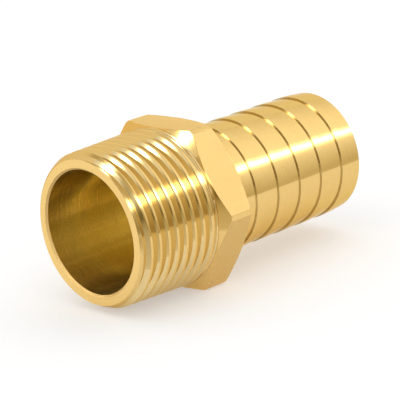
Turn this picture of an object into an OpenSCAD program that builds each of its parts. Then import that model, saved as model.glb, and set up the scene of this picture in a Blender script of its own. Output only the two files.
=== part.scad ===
// Brass pipe adapter, turned from one hexagon bar: a male 1 inch taper thread at one end,
// a wrench hexagon, and a hose tail with five barbs at the other end.
// It lies on a flat of the hexagon: X runs along the pipe axis, from the thread's face to the
// tail's end, Z is up, and the floor is at Z = 0. All sizes are in mm.

/* [Thread] */
// Major diameter at the thread's face
thread_diameter = 32.6; // [32:0.05:33.2]
// Distance from one turn to the next
thread_pitch = 2.309; // [2:0.001:2.6]
// Height of the thread from root to crest
thread_height = 1.479; // [1.1:0.001:1.6]
// Change of diameter for each mm of length
thread_taper = 0.0625; // [0.03:0.0005:0.08]
// Length from the face to the hexagon
thread_length = 20; // [17:0.1:23]
// Outer diameter of the flat face, where the lead chamfer begins
face_diameter = 30.4; // [29.8:0.1:31]
// Angle of the lead chamfer to the axis
lead_angle = 31; // [25:0.5:40]
// Where the helix starts, as an angle around the axis
thread_start = 12; // [0:1:359]
// Length over which the last turn fades out before the hexagon
run_out_length = 1.6; // [0.8:0.1:2.5]

/* [Hexagon] */
// Width over the flats
hexagon_width = 34; // [33.5:0.1:36]
// Length along the axis
hexagon_length = 8; // [6:0.1:10]
// Diameter over the six turned corners
corner_diameter = 38.6; // [37.5:0.1:39]
// Angle of the turned chamfers to the hexagon's faces
hexagon_chamfer_angle = 28; // [20:0.5:35]

/* [Hose tail] */
// Diameter over the barbs
barb_diameter = 27.3; // [26.5:0.1:28]
// Height of each barb's step
barb_step = 0.42; // [0.25:0.01:0.6]
// Number of barbs
barb_count = 5; // [3:1:6]
// Distance from one barb to the next
barb_pitch = 6.5; // [5.5:0.1:7.5]
// Width of the level land behind each step
barb_land = 1.8; // [0.5:0.1:3]
// Plain neck between the hexagon and the first barb
neck_length = 6.3; // [4:0.1:8]
// Chamfer of the tail's end
tail_chamfer = 0.3; // [0.1:0.05:0.5]

/* [Bore] */
// Diameter of the wide bore at the thread's end
wide_bore_diameter = 26.1; // [24:0.1:26.4]
// Depth of the wide bore
wide_bore_depth = 24; // [15:0.5:26]
// Diameter of the bore through the hose tail
tail_bore_diameter = 22.5; // [19:0.1:23.5]
// Chamfer of the wide bore's mouth
mouth_chamfer = 0.42; // [0.2:0.02:0.6]

/* [Hidden] */
brass = [0.88, 0.72, 0.42];
segments = 40;
crest_flat = thread_pitch / 6;
slope = thread_taper / 2;
hexagon_start = thread_length;
hexagon_end = hexagon_start + hexagon_length;
flat_distance = hexagon_width / 2;
corner_distance = flat_distance / cos(30);
chamfer_radius = flat_distance - 0.25;
first_barb = hexagon_end + neck_length;
barb_radius = barb_diameter / 2;
trough_radius = barb_radius - barb_step;
tail_end = first_barb + barb_count * barb_pitch - 0.6;
bore_cone = (wide_bore_diameter - tail_bore_diameter) / 2 / tan(59);
shank_end = thread_length + 0.6;
snap = 0.12;
row_offsets = [-crest_flat / 2, crest_flat / 2, thread_pitch / 2 - crest_flat / 2, thread_pitch / 2 + crest_flat / 2];
first_row = -8;
last_row = 4 * ceil((shank_end + thread_pitch) / thread_pitch);

function crest_radius(x) = thread_diameter / 2 + slope * x;
function lead_radius(x) = face_diameter / 2 + x * tan(lead_angle);

// The groove fades out towards the hexagon.
function depth_share(x) = min(1, max(0, (thread_length - 0.2 - x) / run_out_length));

// Depth of the V below the crest, where w is the place across one turn and the root is at 0
function groove_depth(w) =
  let (d = min(w, thread_pitch - w), full = crest_flat / 2, out = thread_pitch / 2 - crest_flat / 2)
    d <= full ? thread_height : d >= out ? 0 : thread_height * (out - d) / (out - full);

function shank_radius(x, a) =
  let (u = x - thread_pitch * a / 360, w = u - thread_pitch * floor(u / thread_pitch))
    min(lead_radius(x), crest_radius(x) - groove_depth(w) * depth_share(x));

function ring_point(x, a) =
  let (r = shank_radius(x, a)) [x, r * cos(a + thread_start), r * sin(a + thread_start)];

// Four rows to a turn: both edges of the root and both edges of the crest. They climb along the helix.
function row_x(i, a) =
  floor(i / 4) * thread_pitch + row_offsets[i - 4 * floor(i / 4)] + thread_pitch * a / 360;

// A row that has left the shank stays on its end circle.
function grid(i, j) =
  let (x = row_x(i, j * 360 / segments))
    x < snap ? j
      : x > shank_end - snap ? segments + j
      : 2 * segments + 2 + (i - first_row) * segments + j;

function corner(i, j) = j == segments ? grid(i + 4, 0) : grid(i, j);

module threaded_shank() {
  columns = [0 : segments - 1];
  points = concat(
    [for (j = columns) ring_point(0, j * 360 / segments)],
    [for (j = columns) ring_point(shank_end, j * 360 / segments)],
    [[0, 0, 0], [shank_end, 0, 0]],
    [for (i = [first_row : last_row + 4]) for (j = columns)
      let (a = j * 360 / segments) ring_point(row_x(i, a), a)]
  );
  skin = [
    for (i = [first_row : last_row - 1]) for (j = columns)
      let (a = corner(i, j), b = corner(i + 1, j), c = corner(i + 1, j + 1), d = corner(i, j + 1))
        for (t = [[a, b, c], [a, c, d]]) if (t[0] != t[1] && t[1] != t[2] && t[0] != t[2]) t
  ];
  ends = [
    for (j = columns)
      let (n = (j + 1) % segments)
        for (t = [[2 * segments, j, n], [2 * segments + 1, segments + n, segments + j]]) t
  ];
  polyhedron(points = points, faces = concat(skin, ends), convexity = 12);
}

// The profiles are drawn with the radius to the right and the distance from the face upward.
module turned(points) {
  rotate([0, 90, 0]) rotate_extrude($fn = 96) polygon(points);
}

// A hexagonal prism, turned down at its corners and chamfered on both faces
module hexagon() {
  r = corner_diameter / 2;
  rise = (r - chamfer_radius) * tan(hexagon_chamfer_angle);
  intersection() {
    translate([hexagon_start - 1, 0, 0]) rotate([0, 90, 0]) rotate(30)
      cylinder(r = corner_distance, h = hexagon_length + 2, $fn = 6);
    turned([
      [0, hexagon_start],
      [chamfer_radius, hexagon_start],
      [r, hexagon_start + rise],
      [r, hexagon_end - rise],
      [chamfer_radius, hexagon_end],
      [0, hexagon_end]
    ]);
  }
}

// Each barb is a step that faces the hexagon, a level land and a long slope down to the next step.
module hose_tail() {
  barbs = [
    for (i = [0 : barb_count - 1])
      let (x = first_barb + i * barb_pitch, next = i == barb_count - 1 ? tail_end - tail_chamfer : x + barb_pitch)
        each [[barb_radius, x], [barb_radius, x + barb_land], [trough_radius, next]]
  ];
  turned(concat(
    [[0, hexagon_end - 1], [trough_radius, hexagon_end - 1], [trough_radius, first_barb]],
    barbs,
    [[trough_radius - tail_chamfer, tail_end], [0, tail_end]]
  ));
}

// The wide bore ends in a drill cone inside the hexagon, and the narrower one goes on through the tail.
module bore() {
  wide = wide_bore_diameter / 2;
  tail = tail_bore_diameter / 2;
  turned([
    [0, -1],
    [wide + mouth_chamfer + 1, -1],
    [wide, mouth_chamfer],
    [wide, wide_bore_depth],
    [tail, wide_bore_depth + bore_cone],
    [tail, tail_end + 1],
    [0, tail_end + 1]
  ]);
}

module adapter_body() {
  color(brass) translate([-tail_end / 2, 0, flat_distance]) difference() {
    union() {
      threaded_shank();
      hexagon();
      hose_tail();
    }
    bore();
  }
}

adapter_body();
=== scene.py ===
import math
import bpy
from mathutils import Matrix, Vector


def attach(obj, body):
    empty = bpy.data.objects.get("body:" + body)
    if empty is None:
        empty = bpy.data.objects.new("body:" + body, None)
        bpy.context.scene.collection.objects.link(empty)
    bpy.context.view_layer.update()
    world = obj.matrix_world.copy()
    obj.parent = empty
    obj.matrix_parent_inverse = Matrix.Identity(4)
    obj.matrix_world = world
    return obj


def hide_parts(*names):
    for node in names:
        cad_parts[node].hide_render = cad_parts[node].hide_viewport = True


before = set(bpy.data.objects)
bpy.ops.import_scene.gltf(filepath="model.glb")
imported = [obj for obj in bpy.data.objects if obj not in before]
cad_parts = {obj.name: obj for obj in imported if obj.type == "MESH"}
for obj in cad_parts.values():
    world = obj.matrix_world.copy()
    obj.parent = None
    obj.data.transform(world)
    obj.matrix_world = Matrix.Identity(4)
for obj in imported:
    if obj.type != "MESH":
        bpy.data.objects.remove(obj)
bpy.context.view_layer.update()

mm = 0.001
turn = 2 * math.pi
quarterTurn = turn / 4
axisHeight = 17 * mm  # half the hexagon's width over the flats
roundSteps = 256  # sides of a turned surface
mergeGap = 0.0005 * mm
bisectGap = 0.0001 * mm
print("frame loaded")


# modelling helpers

def pick(piece):
    # makes one object the only selected one
    if bpy.context.object and bpy.context.object.mode == "EDIT":
        bpy.ops.object.mode_set(mode="OBJECT")
    bpy.ops.object.select_all(action="DESELECT")
    piece.select_set(True)
    bpy.context.view_layer.objects.active = piece


def edit(piece):
    pick(piece)
    bpy.ops.object.mode_set(mode="EDIT")
    bpy.ops.mesh.select_mode(type="VERT")
    bpy.ops.mesh.select_all(action="SELECT")


def done():
    bpy.ops.object.mode_set(mode="OBJECT")
    bpy.ops.object.select_all(action="DESELECT")


def settle():
    # puts the selected object's place, turn and size into its mesh
    bpy.ops.object.transform_apply(location=True, rotation=True, scale=True)


def closeMesh(piece):
    edit(piece)
    bpy.ops.mesh.remove_doubles(threshold=mergeGap)
    bpy.ops.mesh.normals_make_consistent(inside=False)
    done()


def bisect(place, normal, **settings):
    # cuts the mesh in edit mode along a plane
    bpy.ops.mesh.select_all(action="SELECT")
    bpy.ops.mesh.bisect(plane_co=place, plane_no=normal, **settings)


def drawProfile(name, points):
    # points are (distance from the thread's face, radius) in mm
    bpy.ops.object.select_all(action="DESELECT")
    bpy.ops.mesh.primitive_plane_add(size=mm, location=(0, 0, 0))
    piece = bpy.context.object
    piece.name = name
    edit(piece)
    bpy.ops.mesh.merge(type="CENTER")
    x, r = points[0]
    bpy.ops.transform.translate(value=(x * mm, 0, r * mm))
    for nextX, nextR in points[1:]:
        step = ((nextX - x) * mm, 0, (nextR - r) * mm)
        bpy.ops.mesh.extrude_region_move(TRANSFORM_OT_translate={"value": step})
        x, r = nextX, nextR
    done()
    return piece


def paint(piece, material):
    piece.data.materials.clear()
    piece.data.materials.append(material)


def turnProfile(name, points, material, steps=roundSteps):
    # a turned body: its profile goes from the axis out and back to the axis
    piece = drawProfile(name, points)
    edit(piece)
    bpy.ops.mesh.spin(steps=steps, angle=turn, center=(0, 0, 0), axis=(1, 0, 0))
    done()
    closeMesh(piece)
    paint(piece, material)
    return piece


def addModifier(piece, kind, **settings):
    pick(piece)
    modifier = piece.modifiers.new(kind.lower(), kind)
    for key, value in settings.items():
        setattr(modifier, key, value)
    bpy.ops.object.modifier_apply(modifier=modifier.name)


def combine(piece, other, operation):
    addModifier(piece, "BOOLEAN", operation=operation, object=other, solver="EXACT", material_mode="TRANSFER")
    bpy.data.objects.remove(other)


# the camera that the photograph was taken with
camera = {
    "place": (-279.28, -304.94, 137.51),  # in mm
    "right": (0.7181, -0.6896, -0.0934),
    "up": (0.2622, 0.1437, 0.9543),
    "lens": 184.49,
    "sensor": 36,
    "clip": (0.01, 20),
}

def makeCamera():
    data = bpy.data.cameras.new("camera")
    data.lens = camera["lens"]
    data.sensor_width = camera["sensor"]
    data.clip_start, data.clip_end = camera["clip"]
    view = bpy.data.objects.new("camera", data)
    bpy.context.scene.collection.objects.link(view)
    right = Vector(camera["right"]).normalized()
    up = Vector(camera["up"])
    up = (up - up.dot(right) * right).normalized()
    back = right.cross(up)
    frameOf = Matrix((right, up, back)).transposed().to_4x4()
    frameOf.translation = Vector(camera["place"]) * mm
    view.matrix_world = frameOf
    bpy.context.scene.camera = view

makeCamera()
print("camera set")


# node helpers

noiseRange = (0.3, 0.7)  # most of a noise's values lie in it
noiseDetail = {"rings": 4, "grain": 2, "mottle": 3, "streaks": 4}

def newNode(tree, kind, **settings):
    node = tree.nodes.new("ShaderNode" + kind)
    for key, value in settings.items():
        setattr(node, key, value)
    return node


def mathNode(tree, operation, first, second=None, clamp=False):
    node = newNode(tree, "Math", operation=operation, use_clamp=clamp)
    for socket, value in zip(node.inputs, (first, second)):
        if value is None:
            continue
        if isinstance(value, (int, float)):
            socket.default_value = value
        else:
            tree.links.new(value, socket)
    return node.outputs[0]


def noiseNode(tree, source, scale, detail):
    # noise of one dimension along a number, or of three over a vector
    line = source.type == "VALUE"
    node = newNode(tree, "TexNoise", noise_dimensions="1D" if line else "3D")
    tree.links.new(source, node.inputs["W" if line else "Vector"])
    node.inputs["Scale"].default_value = scale
    node.inputs["Detail"].default_value = detail
    return node.outputs[0]


def spreadNode(tree, source, low, high):
    # spreads a noise over low..high
    spread = newNode(tree, "MapRange")
    tree.links.new(source, spread.inputs["Value"])
    for name, value in zip(("From Min", "From Max", "To Min", "To Max"), (*noiseRange, low, high)):
        spread.inputs[name].default_value = value
    return spread.outputs["Result"]


def bumpNode(tree, height, depth):
    bump = newNode(tree, "Bump")
    bump.inputs["Distance"].default_value = depth
    tree.links.new(height, bump.inputs["Height"])
    return bump


def placeNode(tree):
    # an object's own coordinates, one by one
    place = newNode(tree, "SeparateXYZ")
    tree.links.new(newNode(tree, "TexCoord").outputs["Object"], place.inputs[0])
    return place


def heightNode(tree, place):
    # height over the pipe's axis
    return mathNode(tree, "SUBTRACT", place.outputs["Z"], axisHeight)


# brass, as each tool left it, with painted shade on the barbs' steps and painted reflection streaks in the
# bore
def newBrass(name, look):
    material = bpy.data.materials.new(name)
    material.use_nodes = True
    tree = material.node_tree
    shader = tree.nodes["Principled BSDF"]
    shader.inputs["Metallic"].default_value = 1
    shader.inputs["Specular Tint"].default_value = (*look["edgeColor"], 1)
    coord = newNode(tree, "TexCoord").outputs["Object"]
    place = placeNode(tree)
    # the tool's rings lie across the axis, so they follow x alone
    rings = noiseNode(tree, place.outputs["X"], look["ringScale"], noiseDetail["rings"])
    grain = noiseNode(tree, coord, look["grainScale"], noiseDetail["grain"])
    if "streaks" in look:
        # painted reflection streaks along the bore, lighter and darker brass, follow the angle around its
        # axis
        around = mathNode(tree, "ARCTAN2", heightNode(tree, place), place.outputs["Y"])
        mottle = noiseNode(tree, around, look["streaks"], noiseDetail["streaks"])
    else:
        mottle = noiseNode(tree, coord, look["mottleScale"], noiseDetail["mottle"])
        mottle = mathNode(tree, "MULTIPLY", mathNode(tree, "ADD", mottle, rings), 0.5)
    tone = newNode(tree, "ValToRGB")
    tree.links.new(mottle, tone.inputs[0])
    colors = (look["darkColor"], look["color"])
    for stop, position, color in zip(tone.color_ramp.elements, noiseRange, colors):
        stop.position = position
        stop.color = (*color, 1)
    tree.links.new(tone.outputs[0], shader.inputs["Base Color"])
    ringWear = spreadNode(tree, rings, 0, look["roughSpread"])
    grainWear = spreadNode(tree, grain, look["roughness"], look["roughness"] + look["roughSpread"])
    tree.links.new(mathNode(tree, "ADD", ringWear, grainWear), shader.inputs["Roughness"])
    ringBump = bumpNode(tree, rings, look["ringDepth"])
    grainBump = bumpNode(tree, grain, look["grainDepth"])
    tree.links.new(ringBump.outputs[0], grainBump.inputs["Normal"])
    tree.links.new(grainBump.outputs[0], shader.inputs["Normal"])
    return material

turnedBrass = newBrass("turnedBrass", {
    "color": (0.85, 0.585, 0.22), "darkColor": (0.78, 0.53, 0.185), "edgeColor": (0.9, 0.78, 0.52),
    "roughness": 0.07, "roughSpread": 0.03, "ringScale": 4200, "ringDepth": 0.0000045,
    "grainScale": 9000, "grainDepth": 0.0000008, "mottleScale": 1100,
})
threadBrass = newBrass("threadBrass", {
    "color": (0.81, 0.62, 0.3), "darkColor": (0.76, 0.585, 0.28), "edgeColor": (0.8, 0.64, 0.4),
    "roughness": 0.08, "roughSpread": 0.03, "ringScale": 7000, "ringDepth": 0.000003,
    "grainScale": 9000, "grainDepth": 0.000001, "mottleScale": 1500,
})
leadBrass = newBrass("leadBrass", {
    "color": (0.8, 0.56, 0.215), "darkColor": (0.72, 0.5, 0.185), "edgeColor": (0.85, 0.7, 0.45),
    "roughness": 0.13, "roughSpread": 0.04, "ringScale": 6000, "ringDepth": 0.000004,
    "grainScale": 9000, "grainDepth": 0.000001, "mottleScale": 1100,
})
faceBrass = newBrass("faceBrass", {
    "color": (0.92, 0.635, 0.245), "darkColor": (0.86, 0.59, 0.215), "edgeColor": (0.93, 0.82, 0.6),
    "roughness": 0.18, "roughSpread": 0.04, "ringScale": 5000, "ringDepth": 0.000001,
    "grainScale": 8000, "grainDepth": 0.000002, "mottleScale": 1400,
})
flatBrass = newBrass("flatBrass", {
    "color": (0.785, 0.57, 0.25), "darkColor": (0.69, 0.5, 0.21), "edgeColor": (0.88, 0.75, 0.5),
    "roughness": 0.62, "roughSpread": 0.08, "ringScale": 1800, "ringDepth": 0.000002,
    "grainScale": 4200, "grainDepth": 0.00003, "mottleScale": 2600,
})
# the bore's streaks of lighter and darker brass are painted reflection
boreBrass = newBrass("boreBrass", {
    "color": (0.93, 0.77, 0.345), "darkColor": (0.64, 0.51, 0.175), "edgeColor": (0.9, 0.8, 0.5),
    "roughness": 0.25, "roughSpread": 0.04, "ringScale": 3000, "ringDepth": 0.0000005,
    "grainScale": 6000, "grainDepth": 0.0000004, "streaks": 3.2,
})
# the steps' darker brass is painted shade; their roughness is the tool's
stepShadeBrass = newBrass("stepShadeBrass", {
    "color": (0.63, 0.525, 0.285), "darkColor": (0.51, 0.425, 0.21), "edgeColor": (0.9, 0.84, 0.7),
    "roughness": 0.13, "roughSpread": 0.05, "ringScale": 6000, "ringDepth": 0.000001,
    "grainScale": 8000, "grainDepth": 0.000001, "mottleScale": 1400,
})
print("brass mixed")

# the threaded shank
thread = {
    "crestRadius": 16.3,
    "pitch": 2.309,
    "height": 1.479,
    "crestFlat": 0.56,
    "rounding": 0.05,
    "rootRounding": 0.2,
    "arcSteps": 4,
    "flankAngle": 27.5,
    "taper": 0.03125,  # radius for each mm of length
    "length": 20,
    "overlap": 0.8,  # goes on into the hexagon
    "start": 18,  # degrees around the axis
    "spareTurns": 3,  # cut off at each end
    "stepsPerTurn": 144,
    "crestSkin": 0.03,
}

def threadProfile():
    # one pitch from root to root: a rounded root, straight flanks and a flat crest with rounded edges
    t = thread
    tilt = math.radians(90 - t["flankAngle"])
    low, high = t["crestRadius"] - t["height"], t["crestRadius"]
    deep, edge = t["rootRounding"], t["rounding"]
    # the rounding at the crest begins a little inside its flat
    crestStart = t["pitch"] / 2 - t["crestFlat"] / 2 + edge * math.tan(tilt / 2)
    angles = [tilt * i / t["arcSteps"] for i in range(t["arcSteps"] + 1)]
    root = [(deep * math.sin(a), low + deep - deep * math.cos(a)) for a in angles]
    crest = [(crestStart - edge * math.sin(a), high - edge + edge * math.cos(a)) for a in reversed(angles)]
    half = root + crest
    return half + [(t["pitch"] - x, r) for x, r in reversed(half)]


def makeShank():
    t = thread
    turns = math.ceil(t["length"] / t["pitch"]) + 2 * t["spareTurns"]
    # the root stands at x = pitch * (angle - start) / 360, and the profile is drawn at 90 degrees
    firstRoot = t["pitch"] * ((90 - t["start"]) / 360 - t["spareTurns"])
    shank = drawProfile("adapter", [(firstRoot + x, r) for x, r in threadProfile()])
    addModifier(shank, "SCREW", axis="X", angle=turn, screw_offset=t["pitch"] * mm, iterations=turns,
                steps=t["stepsPerTurn"], render_steps=t["stepsPerTurn"], use_merge_vertices=False)
    closeMesh(shank)
    taper = t["taper"] / t["crestRadius"] / mm * shank.dimensions.x
    addModifier(shank, "SIMPLE_DEFORM", deform_method="TAPER", deform_axis="X", factor=taper)
    edit(shank)
    end = (t["length"] + t["overlap"]) * mm
    bisect((0, 0, 0), (1, 0, 0), use_fill=True, clear_inner=True, threshold=bisectGap)
    bisect((end, 0, 0), (1, 0, 0), use_fill=True, clear_outer=True, threshold=bisectGap)
    done()
    closeMesh(shank)
    paint(shank, threadBrass)
    # the crest keeps the skin of the turned taper
    shank.data.materials.append(turnedBrass)
    for face in shank.data.polygons:
        x, y, z = face.center / mm
        if math.hypot(y, z) > t["crestRadius"] + t["taper"] * x - t["crestSkin"]:
            face.material_index = 1
    return shank

adapter = makeShank()

# the lead chamfer at the mouth
lead = {
    "angle": 31,
    "faceRadius": 15.2,
    "front": -0.5,  # the cone begins before the face
    "reach": 4,  # and goes on as a cylinder that clears the crests
    "back": 25,
}

def makeLeadCone():
    c = lead
    rise = math.tan(math.radians(c["angle"]))
    wide = c["faceRadius"] + c["reach"] * rise
    return turnProfile("leadCone", [
        (c["front"], 0), (c["front"], c["faceRadius"] + c["front"] * rise),
        (c["reach"], wide), (c["back"], wide), (c["back"], 0),
    ], leadBrass)

combine(adapter, makeLeadCone(), "INTERSECT")

# the last turn fades out in a few fine marks of the tool
washOut = {
    "profile": [
        (17.2, 0), (17.2, 14.6), (18.55, 16.3), (19.1, 16.5), (19.2, 16.66), (19.32, 16.66),
        (19.45, 16.42), (19.7, 16.4), (19.92, 16.7), (20.05, 16.7), (20.2, 16.4), (20.7, 16.4), (20.7, 0),
    ],
}
combine(adapter, turnProfile("washOut", washOut["profile"], threadBrass), "UNION")
print("shank", len(adapter.data.polygons))

# the wrench hexagon
hexagon = {
    "start": 20,
    "length": 8,
    "width": 34,
    "cornerDiameter": 38.6,
    "chamferAngle": 28,
    "chamferRadius": 16.75,
    "turnSteps": 240,
    "spare": 2,  # the turned chamfers cut it off
    "edgeRounding": 0.06,
    "roundedFrom": 24,  # degrees between two faces
}

def makeHexagon():
    h = hexagon
    start, end = h["start"], h["start"] + h["length"]
    cornerRadius = h["width"] / 2 / math.cos(math.radians(30))
    bpy.ops.object.select_all(action="DESELECT")
    bpy.ops.mesh.primitive_cylinder_add(
        vertices=6, radius=cornerRadius * mm, depth=(h["length"] + h["spare"]) * mm,
        location=((start + h["length"] / 2) * mm, 0, 0), rotation=(0, quarterTurn, 0))
    prism = bpy.context.object
    prism.name = "prism"
    settle()
    paint(prism, flatBrass)
    r, low = h["cornerDiameter"] / 2, h["chamferRadius"]
    rise = (r - low) * math.tan(math.radians(h["chamferAngle"]))
    turned = turnProfile("turned", [
        (start, 0), (start, low), (start + rise, r), (end - rise, r), (end, low), (end, 0),
    ], turnedBrass, h["turnSteps"])
    combine(prism, turned, "INTERSECT")
    addModifier(prism, "BEVEL", width=h["edgeRounding"] * mm, segments=2, limit_method="ANGLE",
                angle_limit=math.radians(h["roundedFrom"]))
    return prism

prism = makeHexagon()
print("hexagon", len(prism.data.polygons), [round(v / mm, 3) for v in prism.dimensions])
combine(adapter, prism, "UNION")

# the hose tail with its barbs
tail = {
    "start": 27,
    "firstBarb": 34.3,
    "barbs": 5,
    "pitch": 6.5,
    "land": 1.8,
    "crestRadius": 13.65,
    "step": 0.3,
    "edge": 0.03,
    "blend": 0.2,  # from the land into the slope
    "end": 66.2,
    "endChamfer": 0.3,
}

def makeTail():
    t = tail
    high, low = t["crestRadius"], t["crestRadius"] - t["step"]
    edge, blend = t["edge"], t["blend"]
    slopeStop = t["end"] - t["endChamfer"]
    points = [(t["start"], 0), (t["start"], low)]
    for i in range(t["barbs"]):
        x = t["firstBarb"] + i * t["pitch"]
        # a step with broken edges, then a land that turns softly into the slope
        points += [(x - edge, low), (x, low + edge), (x, high - edge), (x + edge, high)]
        landEnd = x + t["land"]
        slopeEnd = x + t["pitch"] if i < t["barbs"] - 1 else slopeStop
        fall = t["step"] / (slopeEnd - landEnd)
        points += [(landEnd - blend, high), (landEnd, high - blend / 4 * fall),
                   (landEnd + blend, high - blend * fall)]
    points += [(slopeStop, low), (t["end"], low - t["endChamfer"]), (t["end"], 0)]
    return turnProfile("tail", points, turnedBrass)

combine(adapter, makeTail(), "UNION")
print("tail joined")

# the bore, wide at the mouth and narrower through the tail
bore = {
    "wideRadius": 13.05,
    "wideDepth": 24,
    "tailRadius": 11.25,
    "coneAngle": 59,
    "mouthChamfer": 0.42,
    "endChamfer": 0.2,
    "overshoot": 0.5,
}

def makeBore():
    b = bore
    wide, narrow, past = b["wideRadius"], b["tailRadius"], b["overshoot"]
    cone = (wide - narrow) / math.tan(math.radians(b["coneAngle"]))
    return turnProfile("bore", [
        (-past, 0), (-past, wide + b["mouthChamfer"] + past), (b["mouthChamfer"], wide),
        (b["wideDepth"], wide), (b["wideDepth"] + cone, narrow),
        (tail["end"] - b["endChamfer"], narrow), (tail["end"] + past, narrow + b["endChamfer"] + past),
        (tail["end"] + past, 0),
    ], boreBrass)

combine(adapter, makeBore(), "DIFFERENCE")
print("bore cut")

# which faces get a brass of their own, with painted shade on the barbs' steps: a slope is x of the normal, a
# depth is mm from the mouth
finishAndShade = {
    "smoothBelow": 16,  # degrees between two faces
    "chamferSlope": -0.4,
    "chamferDepth": 0.45,
    "faceSlope": -0.99,
    "faceDepth": 0.002,
    "stepSlope": -0.6,
    "stepsFrom": 33.3,
}

def placeAdapter():
    edit(adapter)
    bpy.ops.transform.translate(value=(-tail["end"] / 2 * mm, 0, axisHeight))
    done()
    pick(adapter)
    bpy.ops.object.shade_smooth_by_angle(angle=math.radians(finishAndShade["smoothBelow"]))
    bpy.ops.object.select_all(action="DESELECT")


def paintFaces():
    # the ring at the mouth was faced, and the barbs' steps were cut with the side of the tool; the steps'
    # darker brass is painted shade
    f = finishAndShade
    materials = adapter.data.materials
    materials.append(faceBrass)
    materials.append(stepShadeBrass)
    chamfer, ring, step = [materials.find(m.name) for m in (flatBrass, faceBrass, stepShadeBrass)]
    mouthRadius = bore["wideRadius"] + bore["mouthChamfer"]
    for face in adapter.data.polygons:
        x = face.center.x / mm + tail["end"] / 2
        radius = math.hypot(face.center.y, face.center.z - axisHeight) / mm
        if face.normal.x < f["chamferSlope"] and x < f["chamferDepth"] and radius < mouthRadius:
            face.material_index = chamfer
        if face.normal.x < f["faceSlope"] and abs(x) < f["faceDepth"]:
            face.material_index = ring
        if face.normal.x < f["stepSlope"] and x > f["stepsFrom"]:
            face.material_index = step

placeAdapter()
paintFaces()
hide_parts("adapter_body")
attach(adapter, "root")
print("adapter", len(adapter.data.polygons), [round(v / mm, 3) for v in adapter.dimensions])

# the studio: a pale floor and cards of light
studio = {
    "floorColor": (0.7, 0.7, 0.7),
    "floorRoughness": 0.9,
    "floorSize": 6,
    "floorLift": 0.36,  # keeps the floor white where it is seen
    "worldLight": 0.97,
}

def rampNode(tree, source, stops):
    # brightness along a number: stops are (place, value), and the first and last are its ends
    low, high = stops[0][0], stops[-1][0]
    spread = newNode(tree, "MapRange")
    tree.links.new(source, spread.inputs["Value"])
    spread.inputs["From Min"].default_value = low
    spread.inputs["From Max"].default_value = high
    curve = newNode(tree, "FloatCurve")
    top = max(value for place, value in stops)
    points = curve.mapping.curves[0].points
    marks = [((place - low) / (high - low), value / top) for place, value in stops]
    points[0].location = marks[0]
    points[-1].location = marks[-1]
    for mark in marks[1:-1]:
        points.new(*mark)
    for point in points:
        point.handle_type = "VECTOR"
    curve.mapping.update()
    tree.links.new(spread.outputs["Result"], curve.inputs["Value"])
    return mathNode(tree, "MULTIPLY", curve.outputs[0], top)


def seenNode(tree):
    # 1 for what the camera sees, also in metal or through glass
    path = newNode(tree, "LightPath")
    seen = mathNode(tree, "MAXIMUM", path.outputs["Is Camera Ray"], path.outputs["Is Glossy Ray"])
    return mathNode(tree, "MAXIMUM", seen, path.outputs["Is Transmission Ray"])


def glowMaterial(name, color=(1, 1, 1)):
    material = bpy.data.materials.new(name)
    material.use_nodes = True
    tree = material.node_tree
    tree.nodes.remove(tree.nodes["Principled BSDF"])
    glow = newNode(tree, "Emission")
    glow.inputs["Color"].default_value = (*color, 1)
    tree.links.new(glow.outputs[0], tree.nodes["Material Output"].inputs["Surface"])
    return material, glow


def onlyReflected(card, material):
    # a card or lamp that is seen in the metal alone
    card.data.materials.append(material)
    card.visible_camera = False
    card.visible_diffuse = False
    card.visible_shadow = False
    card.visible_transmission = False
    card.visible_volume_scatter = False


def addPlane(name, size=1, place=(0, 0, 0), tilt=(0, 0, 0)):
    bpy.ops.mesh.primitive_plane_add(size=size, location=place, rotation=tilt)
    plane = bpy.context.object
    plane.name = name
    return plane


def makeFloor():
    floor = addPlane("floor", studio["floorSize"])
    material = bpy.data.materials.new("floor")
    material.use_nodes = True
    tree = material.node_tree
    shader = tree.nodes["Principled BSDF"]
    shader.inputs["Base Color"].default_value = (*studio["floorColor"], 1)
    shader.inputs["Roughness"].default_value = studio["floorRoughness"]
    shader.inputs["Specular IOR Level"].default_value = 0
    shader.inputs["Emission Color"].default_value = (1, 1, 1, 1)
    lift = mathNode(tree, "MULTIPLY", seenNode(tree), studio["floorLift"])
    tree.links.new(lift, shader.inputs["Emission Strength"])
    floor.data.materials.append(material)

# the long tent of cloth over the front of the table, with its strip lamp: byAngle is the light by
# degrees around the pipe, and bySlope its share by x over the distance from the pipe's axis
tent = {
    "radius": 0.3,
    "length": 1.6,
    "sides": 96,
    "mouthEnd": -0.4,
    "backEdge": 0.19,
    "byAngle": [
        (40, 0.9), (58, 0.96), (70, 1.02), (80, 1.1), (90, 1.16), (104, 1.24), (118, 1.29), (131, 1.34),
        (136, 2.4), (138.5, 5.2), (145.5, 5.2), (148, 2.2), (153, 1.25), (158, 1.1), (166, 0.98),
        (174, 0.87), (182, 0.79), (190, 0.7),
    ],
    "bySlope": [(-2.7, 0.4), (-0.5, 0.5), (0.43, 0.8), (0.9, 1), (2.7, 1)],
    "lampBySlope": [(-2.7, 1), (0.28, 1), (0.36, 1.9), (0.54, 1.9), (0.66, 1), (2.7, 1)],
    "lampFrom": 1.3,  # what is brighter belongs to the lamp
    "lampGain": 1.2,
    "shade": (0.62, (1, 0.91, 0.68)),  # light and its colour
    "deepShade": (0.2, (1, 0.8, 0.36)),
}

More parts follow.
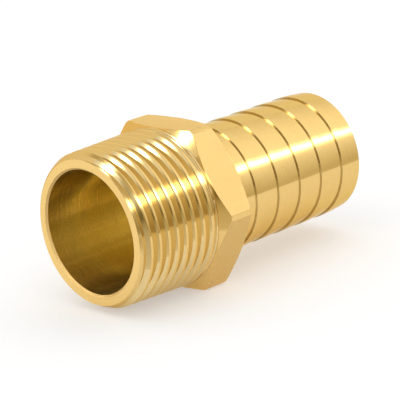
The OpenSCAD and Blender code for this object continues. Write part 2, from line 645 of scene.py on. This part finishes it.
def tentLight(tree, place):
    # light by the angle around the pipe's axis, and weaker towards the mouth's side
    t = tent
    height = heightNode(tree, place)
    angle = mathNode(tree, "ARCTAN2", height, place.outputs["Y"])
    degrees = mathNode(tree, "MULTIPLY", angle, 360 / turn)
    # below the axis the angle is negative, and it goes on past 180 here
    below = mathNode(tree, "MULTIPLY", mathNode(tree, "LESS_THAN", degrees, 0), 360)
    around = rampNode(tree, mathNode(tree, "ADD", degrees, below), t["byAngle"])
    heightSquare = mathNode(tree, "POWER", height, 2)
    widthSquare = mathNode(tree, "POWER", place.outputs["Y"], 2)
    away = mathNode(tree, "SQRT", mathNode(tree, "ADD", heightSquare, widthSquare))
    slope = mathNode(tree, "DIVIDE", place.outputs["X"], away)
    along = rampNode(tree, slope, t["bySlope"])
    # the lamp keeps its strength along the tent, the cloth doesn't
    over = mathNode(tree, "SUBTRACT", around, t["lampFrom"])
    lamp = mathNode(tree, "MULTIPLY", over, t["lampGain"], clamp=True)
    lamp = mathNode(tree, "MULTIPLY", lamp, rampNode(tree, slope, t["lampBySlope"]))
    return mathNode(tree, "MULTIPLY", around, mathNode(tree, "MAXIMUM", lamp, along))


def warmShade(tree, glow, level):
    # the cloth is warmer where it gets less light
    tone = newNode(tree, "ValToRGB")
    tree.links.new(level, tone.inputs[0])
    deep, white = tone.color_ramp.elements
    deep.position, deep.color = tent["deepShade"][0], (*tent["deepShade"][1], 1)
    white.color = (1, 1, 1, 1)
    tone.color_ramp.elements.new(tent["shade"][0]).color = (*tent["shade"][1], 1)
    tree.links.new(tone.outputs[0], glow.inputs["Color"])
    tree.links.new(level, glow.inputs["Strength"])


def lightCloth(card):
    # cloth that takes its light from where it hangs in the tent
    material, glow = glowMaterial(card.name)
    tree = material.node_tree
    warmShade(tree, glow, tentLight(tree, placeNode(tree)))
    onlyReflected(card, material)


def lightCard(card, axis, stops):
    # a card whose light changes along one axis
    material, glow = glowMaterial(card.name)
    tree = material.node_tree
    warmShade(tree, glow, rampNode(tree, placeNode(tree).outputs[axis], stops))
    onlyReflected(card, material)


def addCard(name, place, size, tilt=(0, 0, 0)):
    card = addPlane(name, 1, place, tilt)
    card.scale = (*size, 1)
    settle()
    return card


def makeTent():
    t = tent
    bpy.ops.mesh.primitive_cylinder_add(
        vertices=t["sides"], radius=t["radius"], depth=t["length"], end_fill_type="NOTHING",
        location=(0, 0, axisHeight), rotation=(0, quarterTurn, 0))
    shell = bpy.context.object
    shell.name = "tent"
    settle()
    edit(shell)
    bisect((0, t["backEdge"], 0), (0, 1, 0), clear_outer=True)
    bisect((0, 0, 0), (0, 0, 1), clear_inner=True)
    bisect((t["mouthEnd"], 0, 0), (1, 0, 0), clear_inner=True)
    done()
    lightCloth(shell)

# the low wall at the tail's side, which stands along the line of sight
lowWall = {
    "right": (0.7213, -0.6927),
    "offset": 0.0915,
    "length": 0.7,
    "top": 0.028,
}

def makeLowWall():
    w = lowWall
    right = Vector((*w["right"], 0))
    onward = Vector((-right.y, right.x, 0))
    wall = addPlane("lowWall")
    sides = Matrix((onward * w["length"], Vector((0, 0, w["top"])), right))
    wall.matrix_world = sides.transposed().to_4x4()
    wall.location = right * w["offset"] + Vector((0, 0, w["top"] / 2))
    pick(wall)
    settle()
    lightCloth(wall)

# the wall at the mouth's side, with its bands of light
endCard = {
    "x": -0.8,
    "width": 0.9,
    "byHeight": [
        (0, 0.25), (0.05, 0.33), (0.09, 0.6), (0.139, 1.0), (0.17, 0.75), (0.205, 0.55), (0.245, 0.53),
        (0.285, 0.62), (0.325, 0.95), (0.6, 1.05),
    ],
}

def makeEndCard():
    c = endCard
    top = c["byHeight"][-1][0]
    card = addCard("endCard", (c["x"], 0, top / 2), (top, c["width"]), (0, quarterTurn, 0))
    lightCard(card, "Z", c["byHeight"])

# the dimmer table top in front of the mouth
dimTable = {
    "side": (-0.16, 0),
    "lift": 0.0004,
    "byPlace": [
        (-0.6, 0.28), (-0.25, 0.34), (-0.186, 0.44), (-0.13, 0.54), (-0.086, 0.64), (-0.06, 0.7),
        (-0.045, 0.76),
    ],
}

def makeDimTable():
    d = dimTable
    far, near = d["byPlace"][0][0], d["byPlace"][-1][0]
    left, right = d["side"]
    card = addCard("dimTable", ((near + far) / 2, (left + right) / 2, d["lift"]), (near - far, right - left))
    lightCard(card, "X", d["byPlace"])

# a dark card low at the mouth's side
darkCard = {
    "place": (-0.3, -0.03),
    "width": 0.16,
    "byHeight": [(0, 0.2), (0.02, 0.2), (0.032, 0.36), (0.04, 0.42)],
}

def makeDarkCard():
    c = darkCard
    top = c["byHeight"][-1][0]
    card = addCard("darkCard", (*c["place"], top / 2), (top, c["width"]), (0, quarterTurn, 0))
    lightCard(card, "Z", c["byHeight"])

# the dimmer back of the room at the mouth's side
backCard = {
    "y": 0.4,
    "from": -0.8,
    "to": 0,
    "top": 0.45,
    "strength": 0.94,
    "color": (1, 0.86, 0.61),
}

def makeBackCard():
    c = backCard
    middle = ((c["from"] + c["to"]) / 2, c["y"], c["top"] / 2)
    card = addCard("backCard", middle, (c["to"] - c["from"], c["top"]), (quarterTurn, 0, 0))
    material, glow = glowMaterial("backCard", c["color"])
    glow.inputs["Strength"].default_value = c["strength"]
    onlyReflected(card, material)

# the lamp that leans over the thread from behind
leaningLamp = {
    "aim": (-0.015, 0),
    "low": (-0.89, 0.37, 0.27),
    "high": (-0.06, 0.03, 0.998),
    "distance": 0.28,
    "halfWidth": 0.05,
    "across": [
        (-0.5, 0.85), (-0.3, 0.95), (-0.2, 1.3), (-0.13, 3.5), (-0.08, 8), (0.2, 8), (0.26, 3.8),
        (0.33, 2), (0.42, 1.2), (0.5, 1),
    ],
}

def makeLeaningLamp():
    t = leaningLamp
    aim = Vector((*t["aim"], axisHeight))
    low = Vector(t["low"]).normalized() * t["distance"] + aim
    high = Vector(t["high"]).normalized() * t["distance"] + aim
    along = (high - low).normalized()
    outward = ((low + high) / 2 - aim).normalized()
    across = along.cross(outward)
    lamp = addPlane("leaningLamp")
    sides = Matrix((along * (high - low).length, across * 2 * t["halfWidth"], outward))
    lamp.matrix_world = sides.transposed().to_4x4()
    lamp.location = (low + high) / 2
    material, glow = glowMaterial("leaningLamp")
    tree = material.node_tree
    light = rampNode(tree, placeNode(tree).outputs["Y"], t["across"])
    tree.links.new(light, glow.inputs["Strength"])
    onlyReflected(lamp, material)


def makeWorld():
    world = bpy.data.worlds.new("studio")
    bpy.context.scene.world = world
    world.use_nodes = True
    tree = world.node_tree
    light = tree.nodes["Background"]
    light.inputs["Color"].default_value = (1, 1, 1, 1)
    level = mathNode(tree, "MAXIMUM", seenNode(tree), studio["worldLight"])
    tree.links.new(level, light.inputs["Strength"])

makeFloor()
makeTent()
makeLowWall()
makeEndCard()
makeDimTable()
makeDarkCard()
makeBackCard()
makeLeaningLamp()
makeWorld()
bpy.context.scene.view_settings.view_transform = "Standard"
print("studio set")
